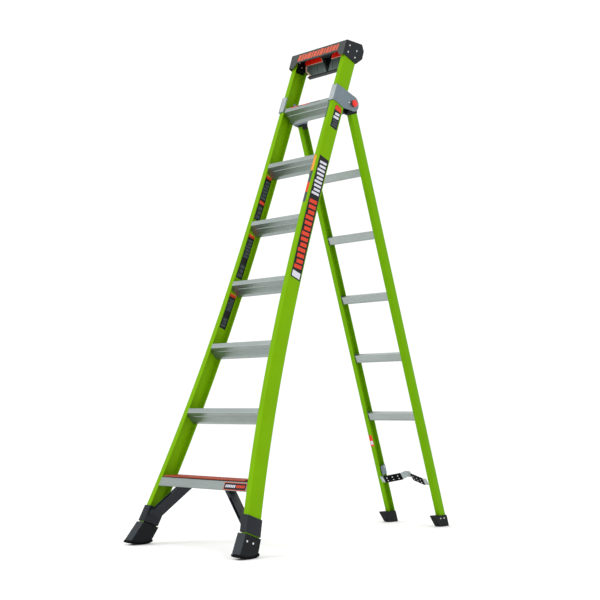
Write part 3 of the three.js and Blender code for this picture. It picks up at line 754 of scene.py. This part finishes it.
journal = [(0, x0), (radius - 0.6, x0), (radius, x0 + 0.6), (radius, x1 - 0.6), (radius - 0.6, x1), (0, x1)]
pair("pad_journal", [turned(journal, (0, shaft_y, shaft_z), (1, 0, 0))], LEVEL, [steel], "front_section",
     "bright_steel", ["wall_pad_journal"])

# ---------------------------------------------------------------- wall pad

PAD_HALF = 143.0
PAD_RISE = 44.0
PAD_SILL = 6.0
PAD_SPINE = 40.0
NOTCH_FOOT = 4.5
NOTCH_TOP = 36.0
pad_front, pad_core, pad_back = shaft_y - 8, shaft_y + 14, shaft_y + 20
shell_low = shaft_z - PAD_RISE + PAD_SILL
pad_top = shaft_z + PAD_RISE


def upright(outline, y0, y1):
    """A front-view outline of (x, z), drawn out along y."""
    return loft([[(x, y, z) for x, z in outline] for y in (y0, y1)])


def gap_at(z):
    """Half the pad's V gap at a height."""
    return NOTCH_FOOT + (z - shell_low) * (NOTCH_TOP - NOTCH_FOOT) / (2 * PAD_RISE - PAD_SILL)


shell_outline = [(gap_at(shell_low), shell_low), (PAD_HALF - 26, shell_low), (PAD_HALF, shell_low + 26),
                 (PAD_HALF, pad_top), (gap_at(pad_top), pad_top)]
recess = [upright(fillet(oblong(x0, x1, shell_low + 9, shaft_z + 9), 4), pad_front - 1, pad_front + 2.5)
          for x0, x1 in ((32, 66), (74, 110))]
bore = drill(SHAFT_HOLE, 59, 160, (0, shaft_y, shaft_z))
pair("pad_shell", [upright(fillet(shell_outline, [2, 8, 8, 3, 3]), pad_front, pad_core)], LEVEL, [pad_grey],
     "wall_pad", "pad_shell", ["wall_pad_body"], cuts=[bore] + recess, bevel=1.0)
rim = [(PAD_HALF - 0.6, shaft_z + 16), (PAD_HALF - 0.6, shell_low + 26.4), (PAD_HALF - 26, shell_low + 1),
       (PAD_HALF - 37, shell_low + 1), (PAD_HALF - 10, shell_low + 28.4), (PAD_HALF - 10, shaft_z + 16)]
pair("pad_shell_rim", [upright(rim, pad_front - 0.6, pad_front + 0.3)], LEVEL, [cream_rim], "wall_pad",
     "pad_shell", bevel=0.25)

pad_low = shaft_z - PAD_RISE
spine_outline = fillet(oblong(-PAD_HALF, PAD_HALF, pad_low, shaft_z + PAD_SPINE), 5)
spine = raw([upright(spine_outline, pad_core + 0.5, pad_back)], LEVEL)
lanes = [upright(fillet(oblong(x, x + 38, shaft_z - 37, shaft_z + 2), 3), pad_back - 2, pad_back + 2)
         for x in (-134, -89, -44, 6, 51, 96)]
sill_outline = oblong(-PAD_HALF + 12, PAD_HALF - 12, pad_low + 0.2, shell_low - CLEAR)
sill = upright(sill_outline, pad_front, pad_core + 2)
boolean(spine, [sill], LEVEL, "UNION")
boolean(spine, lanes, LEVEL)
dress(spine, "pad_spine", [black_mould], "wall_pad", "pad_spine", ["wall_pad_spine"], bevel=0.7)

rubber_back = pad_front - CLEAR


def rubber_outline(inset):
    """The rubber's outline in front view, or one drawn in from it."""
    foot, top, side = shaft_z + 16 + inset, pad_top - inset, PAD_HALF - 1 - inset
    corners = [(gap_at(foot) + 2 + inset, foot), (side, foot), (side, top), (gap_at(top) + 2 + inset, top)]
    return fillet(corners, [3, 5, 5, 3])


pair("pad_rubber_rim", [upright(rubber_outline(0), rubber_back - 2.4, rubber_back)], LEVEL, [cream_rim],
     "wall_pad", "pad_rubber", bevel=0.6)
rubber_ribs = [upright(oblong(x, x + 1.6, shaft_z + 21, shaft_z + 40), rubber_back - 6.5, rubber_back - 4.6)
               for x in range(52, 138, 7)]
pair("pad_rubber", [upright(rubber_outline(2.2), rubber_back - 5.5, rubber_back - 2)], LEVEL, [red_rubber],
     "wall_pad", "pad_rubber", ["wall_pad_rubber"], cuts=rubber_ribs, bevel=0.9)

# ---------------------------------------------------------------- hinges

OUTER = 174 + CLEAR
INNER = 174 - RAIL_FLANGE - CLEAR
OUTSIDE = OUTER + 4
INSIDE = INNER - 3.2
HINGE_FOOT = 2121.0
HINGE_HEAD = 2205.0
WRAP = 4.3
wrap_front = -WRAP - CLEAR
hinge_arc = arc(HINGE_FRONT, HINGE_RADIUS, -72, 99, 26)
outer_outline = [(wrap_front, HINGE_HEAD), (wrap_front, HINGE_FOOT), (74, HINGE_FOOT)] + hinge_arc
wrap = block(INNER, OUTSIDE, wrap_front, -CLEAR, HINGE_FOOT, HINGE_HEAD)
pair("hinge_bracket", [along_x(outer_outline, OUTER, OUTSIDE)], FRONT, [zinc], "front_section",
     "hinge_metal", ["hinge_outer_plate"], joins=[wrap],
     cuts=[drill(PIN_HOLE, -30, 30, (OUTER, *HINGE_FRONT), 36)], bevel=0.8)
inner_outline = [(44, 2196), (44, 2110), (58, 2096), (90, 2096)] + hinge_arc
pair("hinge_inner", [along_x(inner_outline, INSIDE, INNER)], FRONT, [zinc], "front_section", "hinge_metal",
     ["hinge_inner_plate"], cuts=[drill(PIN_HOLE, -30, 30, (INNER, *HINGE_FRONT), 36)], bevel=0.7)
# A thin sheet of brighter zinc on the wrap's front face: a painted highlight on the face that catches the
# light.
wrap_highlight = block(INNER + 1.2, OUTER + 1.2, wrap_front - 0.35, wrap_front + 0.2,
                  HINGE_FOOT + 2.5, HINGE_HEAD - 2.5)
pair("wrap_highlight", [wrap_highlight], FRONT, [bright_zinc], "front_section", "hinge_metal", bevel=0.15)
hinge_dots = [dome((OUTSIDE, 97, 2164), (1, 0, 0), 4.2, 1.6)]
hinge_dots += [dome((INSIDE, 60, s), (-1, 0, 0), 3.6, 1.5) for s in (2132, 2184)]
pair("hinge_rivets", hinge_dots, FRONT, [rivet_steel], "front_section", "bright_steel")

pin_profile = [(0, 116), (7.4, 116), (8, 116.8), (8, OUTSIDE), (4.35, OUTSIDE), (4.35, OUTSIDE - 30)]
pin_profile += [(0, OUTSIDE - 30)]
pair("hinge_pin_turned", [turned(pin_profile, (0, *HINGE_REAR), (1, 0, 0), 36)], REAR, [steel],
     "rear_section", "bright_steel", ["hinge_pin"])
button_back = OUTSIDE + 5.6
button_rim = [(0, -27), (4, -27), (4, 0), (15.5, 0), (17, 1.2), (17, 3.6), (16.2, 5.4), (14, 6.2)]
button_rim += [(12.6, 5.2), (11.6, 5.2), (10.4, 6.4), (6, 6.9), (0, 7)]
button_profile = [(radius, button_back + rise) for radius, rise in button_rim]
pair("button", [turned(button_profile, (0, *HINGE_FRONT), (1, 0, 0), 40)], FRONT, [red_button],
     "lock_button_{}", "button_red", ["lock_button"], smooth=50)
for side, _ in SIDES:
    low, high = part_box(f"lock_spring_{side}")
    middle = (low + high) / 2
    foot = Vector((low.x if middle.x > 0 else high.x, middle.y, middle.z)) / MM
    outward = (1 if middle.x > 0 else -1, 0, 0)
    wave = raw([coil(foot, outward, 6.1, 0.5, (high.x - low.x) / MM, 3.5)], LEVEL)
    dress(wave, f"lock_coil_{side}", [spring_steel], "front_section", "spring_wire", [f"lock_spring_{side}"],
          smooth=60)
    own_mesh(wave)

# ---------------------------------------------------------------- rear section

head = [(0, 2060), (REAR_DEPTH, 2060)] + arc(HINGE_REAR, 31, -9, 180, 26) + [(-10, 2098), (-18, 2068)]
fitting = along_x(head, REAR_HALF - REAR_FLANGE, REAR_HALF + 0.6)
tongue = block(REAR_HALF - REAR_FLANGE, REAR_HALF - REAR_WALL - CLEAR, REAR_WALL + CLEAR,
               REAR_DEPTH - REAR_WALL - CLEAR, 2045, 2063)
fitting_cuts = [drill(PIN_HOLE, -60, 60, (160, *HINGE_REAR), 36)]
pair("pivot_fitting", [fitting], REAR, [black_mould], "rear_section", "fitting_black", ["rear_top_fitting"],
     joins=[tongue], cuts=fitting_cuts, bevel=1.2, segments=3)


def rung_outline(top):
    """A D-shaped rung with a ribbed top."""
    lower = fillet([(4.2, top - 33), (8, top - 38), (32, top - 38), (40.2, top - 31)], [3, 5, 6, 6])
    outline = [(4.2, top - 1.2)] + lower + [(40.2, top - 1.2), (39, top)]
    d = 36.5
    while d > 8:
        outline += [(d, top), (d - 0.6, top - 0.8), (d - 1.8, top - 0.8), (d - 2.4, top)]
        d -= 4.2
    return outline + [(5.4, top)]


def ferrule(top, x0, x1, grow):
    d0, d1 = 4.2 - grow, 40.2 + grow
    corners = [(d0, top - 33 - grow), (8 - grow, top - 38 - grow), (32 + grow, top - 38 - grow),
               (d1, top - 31 - grow), (d1, top + grow), (d0, top + grow)]
    return along_x(fillet(corners, [3, 5, 6, 6, 2, 2]), x0, x1)


for level in range(2, 7):
    top = 585 + (level - 2) * PITCH
    end = REAR_HALF - REAR_WALL - CLEAR
    rung = raw([along_x(rung_outline(top), -end, end)], REAR)
    dress(rung, f"rung_{level}", [rung_metal], "rear_section", "rung_metal", [f"rear_rung_{level}"],
          smooth=25)
    pair(f"ferrule_{level}", [ferrule(top, 163, 168.4, 2.6)], REAR, [zinc], "rear_section", "hinge_metal",
         bevel=0.6)

tube = [(PIN_HOLE, -142.55), (15.4, -142.55), (16, -142), (16, 142), (15.4, 142.55), (PIN_HOLE, 142.55)]
tube += [(PIN_HOLE, 112), (13.5, 112), (13.5, -112), (PIN_HOLE, -112), (PIN_HOLE, -142.55)]
pivot_tube = raw([turned(tube, (0, *HINGE_REAR), (1, 0, 0), 48)], REAR)
dress(pivot_tube, "pivot_tube", [rung_metal], "rear_section", "rung_metal", ["rear_rung_7"])


def built_floor(y, z):
    """A point near the rear feet, y from the front edge of the ladder's own layout."""
    return rear_point(y + FRONT_ORIGIN[1], z)


foot_outline = [built_floor(1494, 7), built_floor(1502, 0), built_floor(1571, 0), built_floor(1552, 55),
                built_floor(1455, 55)]
foot_outline = fillet(foot_outline, [1, 1, 2, 3, 3])
foot_cut = rear_channel(16 - CLEAR, 140, grow=CLEAR)
slot_corners = ((0, -2), (3.4, -2), (2.8, 2.4), (0.6, 2.4))
foot_slots = [along_x([built_floor(y + back, z) for back, z in slot_corners], 140, 185)
              for y in range(1507, 1566, 9)]
pair("rear_foot_moulding", [along_x(foot_outline, 144.5, 178.5)], REAR, [black_mould], "rear_section",
     "foot_moulding", ["rear_foot"], cuts=[foot_cut] + foot_slots, bevel=1.3)
foot_rivets = [dome((178.5, *built_floor(y, z)), (1, 0, 0), 3.8, 1.4) for y, z in ((1502, 40), (1530, 40))]
pair("foot_rivets", foot_rivets, REAR, [rivet_steel], "rear_section", "bright_steel")

# ---------------------------------------------------------------- pole strap

STRAP = Matrix.Translation((0, -4, 236)) @ Matrix.Rotation(math.radians(20), 4, "X")
strap_right = [(REAR_HALF - 26.5 - CLEAR, 0), (128, 0), (32, 33), (16, 50)]
strap_line = strap_right + [(-x, y) for x, y in reversed(strap_right)]


def offset_line(points, distance):
    """An open line moved sideways."""
    shifted = []
    for i, point in enumerate(points):
        before = Vector(points[max(i - 1, 0)])
        after = Vector(points[min(i + 1, len(points) - 1)])
        run = (after - before).normalized()
        shifted.append((point[0] + run.y * distance, point[1] - run.x * distance))
    return shifted


def softened(points, reach=6.0, steps=4):
    """An open line with its bends rounded."""
    line = [points[0]]
    for before, here, after in zip(points, points[1:], points[2:]):
        before, here, after = Vector(before), Vector(here), Vector(after)
        start = here + (before - here).normalized() * reach
        end = here + (after - here).normalized() * reach
        line.append(tuple(start))
        line += curve(start, here, end, steps)
    return line + [points[-1]]


line = softened(strap_line)
band_outline = line + list(reversed(offset_line(line, -4.0)))
strap = raw([moved(along_s(band_outline, -19, 19), STRAP)], REAR)
dress(strap, "pole_strap_band", [bright_zinc], "rear_section", "strap_metal", ["pole_strap"], bevel=0.9)

arm_start, arm_end = Vector(strap_right[1]), Vector(strap_right[2])
arm_run = (arm_end - arm_start).normalized()
arm_out = Vector((-arm_run.y, arm_run.x))


def on_arm(along, out):
    """A point beside the strap's slanting arm."""
    return tuple(arm_start + arm_run * along + arm_out * out)


arm_length = (arm_end - arm_start).length
pad_end, pad_face = arm_length - 2, 7
pad_plan = [on_arm(2, CLEAR), on_arm(pad_end, CLEAR), on_arm(pad_end, pad_face), on_arm(2, pad_face)]
pad_plan = fillet(pad_plan, [0.5, 0.5, 2.5, 2.5])
stud_places = [(*on_arm(arm_length * part, pad_face), s) for part in (0.2, 0.5, 0.8) for s in (-8.5, 8.5)]
pips = [moved(dome(place, (*arm_out, 0), 3.4, 1.4), STRAP) for place in stud_places]
pair("strap_pad_block", [moved(along_s(pad_plan, -20, 20), STRAP)], REAR, [sole_rubber], "rear_section",
     "strap_rubber", ["strap_pad"], bevel=0.8)
pair("strap_studs", pips, REAR, [rivet_steel], "rear_section", "bright_steel")
flange_face = REAR_HALF - REAR_FLANGE - CLEAR
bracket_outline = fillet(oblong(8, REAR_DEPTH - 1, 250, 300), 5)
bracket = along_x(bracket_outline, flange_face - 3.2, flange_face)
pair("strap_bracket_plate", [bracket], REAR, [zinc], "rear_section", "strap_metal", ["strap_bracket"],
     bevel=0.5)
strap_bolts = bolt((flange_face - 3.2, 30, 287), (-1, 0, 0), 5, 4)
strap_bolts += [moved(shape, STRAP) for shape in bolt((137, -0.1, 0), (0, -1, 0), 5.2, 4)]
pair("strap_bolts", strap_bolts, REAR, [steel], "rear_section", "bright_steel", smooth=25)

# ---------------------------------------------------------------- labels, all generic


FILM = 0.12
BASE_LIFT = 0.3
PRINT_LIFT = 0.42


def web_surface(s, lift, inside):
    """How far out a film lies on the outer or the inner face of a front rail's web."""
    return half_width(s) - RAIL_WALL - lift if inside else half_width(s) + lift


def web_patch(corners, lift, index, inside=False):
    """A thin patch on the web of a front rail; corners are (s, d)."""
    loops = [[(web_surface(s, extra, inside), d, s) for s, d in corners] for extra in (lift - FILM, lift)]
    return painted(loft(loops), index)


def long_patch(s0, s1, d0, d1, lift, index, inside=False):
    """The same for a stretch that follows the rail's curve."""
    count = max(2, int((s1 - s0) / 40))
    low = [(s0 + (s1 - s0) * k / count, d0) for k in range(count + 1)]
    high = [(s, d1) for s, _ in reversed(low)]
    verts, faces = [], []
    for s, d in low + high:
        verts += [(web_surface(s, extra, inside), d, s) for extra in (lift - FILM, lift)]
    total = len(verts)
    for k in range(count):
        a, b = 2 * k, total - 2 * k - 2
        faces += [(a, a + 2, b - 2, b), (a + 1, b + 1, b - 1, a + 3), (a, a + 1, a + 3, a + 2),
                  (b, b - 2, b - 1, b + 1)]
    faces += [(0, total - 2, total - 1, 1), (2 * count, 2 * count + 1, 2 * count + 3, 2 * count + 2)]
    return painted((verts, faces), index)


def patch_corners(s0, s1, d0, d1):
    """The corners of a plain patch as (s, d)."""
    return [(s0, d0), (s0, d1), (s1, d1), (s1, d0)]


def bars_between(s0, s1, d0, d1, count, index, slant=6.0, gap=0.28, inside=False):
    """A run of plain slanted bars across a patch, no lettering."""
    shapes = []
    pitch = (s1 - s0) / count
    for k in range(count):
        low = s0 + pitch * k
        tall = pitch * (1 - gap)
        trim = (d1 - d0) * (0.0, 0.16, 0.07)[k % 3]
        corners = [(low, d0 + trim), (low + slant, d1), (low + slant + tall, d1), (low + tall, d0 + trim)]
        shapes.append(web_patch(corners, PRINT_LIFT, index, inside))
    return shapes


LABELS = [film_black, film_white, film_orange, film_grey, film_amber]
BLACK, WHITE, ORANGE, GREY, AMBER = range(5)
decal = [long_patch(1226, 1834, 8, 70, BASE_LIFT, BLACK)]
decal += bars_between(1640, 1818, 15, 62, 9, WHITE, gap=0.42)
decal += bars_between(1272, 1622, 15, 62, 13, ORANGE, slant=7, gap=0.34)
decal += [web_patch(patch_corners(1232, 1260, 14, 64), PRINT_LIFT, WHITE)]
small_label = [(1994, 22), (1994, 68), (2104, 68), (2112, 58), (2112, 32), (2104, 22)]
small_block = [(2086, 24), (2086, 66), (2103, 66), (2110, 57), (2110, 33), (2103, 24)]
decal += [web_patch(small_label, BASE_LIFT, BLACK), web_patch(small_block, PRINT_LIFT, ORANGE)]
decal += bars_between(2042, 2080, 28, 62, 2, WHITE, slant=5, gap=0.35)
decal += bars_between(2002, 2040, 28, 62, 3, GREY, slant=3, gap=0.4)
for side, turn in SIDES:
    panel = raw([turn(shape) for shape in decal], FRONT)
    dress(panel, f"web_label_{side}", LABELS, "front_section", "pad_spine")

inner = []
for s0, s1, with_block in ((1562, 1796, True), (1262, 1486, False), (1014, 1184, False)):
    inner.append(long_patch(s0, s1, 24, 62, BASE_LIFT, BLACK, inside=True))
    inner.append(web_patch(patch_corners(s1 - 16, s1 - 3, 25, 61), PRINT_LIFT, ORANGE, inside=True))
    inner.append(web_patch(patch_corners(s1 - 4, s1, 24, 62), PRINT_LIFT + 0.08, AMBER, inside=True))
    middle = s0 + (s1 - s0) * 0.36
    if with_block:
        inner.append(web_patch(patch_corners(middle, middle + 16, 27, 59), PRINT_LIFT, ORANGE, inside=True))
    inner += bars_between(middle + 24, s1 - 24, 28, 58, 6, GREY, slant=3, inside=True)
    inner += bars_between(s0 + 8, middle - 8, 30, 56, 3, GREY, slant=3, inside=True)
panel = raw([flipped(shape) for shape in inner], FRONT)
dress(panel, "inner_label_left", LABELS, "front_section", "pad_spine")

flange = []
for s0, s1, wide, index in ((1590, 1640, 15, GREY), (1640, 1690, 15, ORANGE), (1690, 1750, 15, GREY),
                            (1750, 1830, 15, AMBER), (2032, 2116, 6, GREY)):
    tips = [half_width(s) - RAIL_FLANGE + 2 for s in (s0, s1)]
    outline = [(tips[0], s0), (tips[0] + wide, s0), (tips[1] + wide, s1), (tips[1], s1)]
    flange.append(painted(along_d(outline, -0.3, -0.15), index))
panel = raw(flange, FRONT)
dress(panel, "flange_label_right", LABELS, "front_section", "pad_spine")

top_step = FIRST_STEP + 6 * PITCH
strip = []
for x0, x1, index in ((-104, -58, ORANGE), (-58, -34, BLACK), (-34, 14, ORANGE), (14, 84, GREY)):
    strip.append(painted(block(x0, x1, -0.25, -0.1, top_step - 5.4, top_step - 1.4), index))
panel = raw(strip, FRONT)
dress(panel, "step_strip", LABELS, "front_section", "pad_spine")

beam_label = [painted(block(137, 268, -0.25, -0.1, 267.5, 298.5), ORANGE),
              painted(block(139, 266, -0.35, -0.24, 269.5, 296.5), BLACK)]
for index, places in ((WHITE, range(146, 206, 10)), (ORANGE, range(210, 260, 10))):
    for x in places:
        slanted = [(x, 278), (x + 7, 278), (x + 8.5, 289), (x + 1.5, 289)]
        beam_label.append(painted(along_d(slanted, -0.45, -0.34), index))
panel = raw(beam_label, FRONT)
dress(panel, "beam_label", LABELS, "front_section", "pad_spine")

sticker = [painted(block(-REAR_HALF + 3, -REAR_HALF + 24, -0.25, -0.1, 410, 470), ORANGE),
           painted(block(-REAR_HALF + 5, -REAR_HALF + 22, -0.35, -0.24, 420, 440), WHITE)]
panel = raw(sticker, REAR)
dress(panel, "rear_sticker", LABELS, "rear_section", "pad_spine")

boot_dots = []
for s, d in ((73, 4), (73, 38)):
    boot_dots.append(dome((half_width(0) + 6 - FLARE_SLOPE * s, d, s), (1, 0, 0), 4.6, 1.7))
pair("boot_rivets", boot_dots, FRONT, [rivet_steel], "front_section", "bright_steel")

# ---------------------------------------------------------------- stage, light and camera

floor = raw([block(-40, 40, -40, 40, -0.02, 0)], Matrix.Identity(4))
floor.name = "floor"
floor.location.z = -0.0006
pale = finish("floor_finish", "fbfbfa", 0.9, grain=3, vary=0.01, bump=0.0, rough_vary=0.02)
floor.data.materials.append(pale)

world = bpy.data.worlds.new("studio")
world.use_nodes = True
world.node_tree.nodes["Background"].inputs["Color"].default_value = (1, 1, 1, 1)
world.node_tree.nodes["Background"].inputs["Strength"].default_value = 1.06
bpy.context.scene.world = world
bpy.context.scene.view_settings.view_transform = "Standard"


def softbox(name, place, aim, size, power):
    light = bpy.data.lights.new(name, "AREA")
    light.shape = "DISK"
    light.size = size
    light.energy = power
    lamp = bpy.data.objects.new(name, light)
    lamp.location = place
    lamp.rotation_euler = (Vector(aim) - Vector(place)).to_track_quat("-Z", "Y").to_euler()
    bpy.context.scene.collection.objects.link(lamp)


softbox("key", (-2.5, -6.0, 4.6), (0, -0.2, 1.0), 4.0, 170)
softbox("fill", (6.0, -1.5, 3.6), (0, 0, 1.0), 4.0, 75)

camera_data = bpy.data.cameras.new("camera")
camera_data.sensor_width = 36
camera_data.lens = 66.05
camera = bpy.data.objects.new("camera", camera_data)
camera.location = (3.4841, -3.7279, 0.5718)
camera.rotation_euler = (math.radians(90 + 5.709), 0, math.radians(43.742))
bpy.context.scene.collection.objects.link(camera)
bpy.context.scene.camera = camera
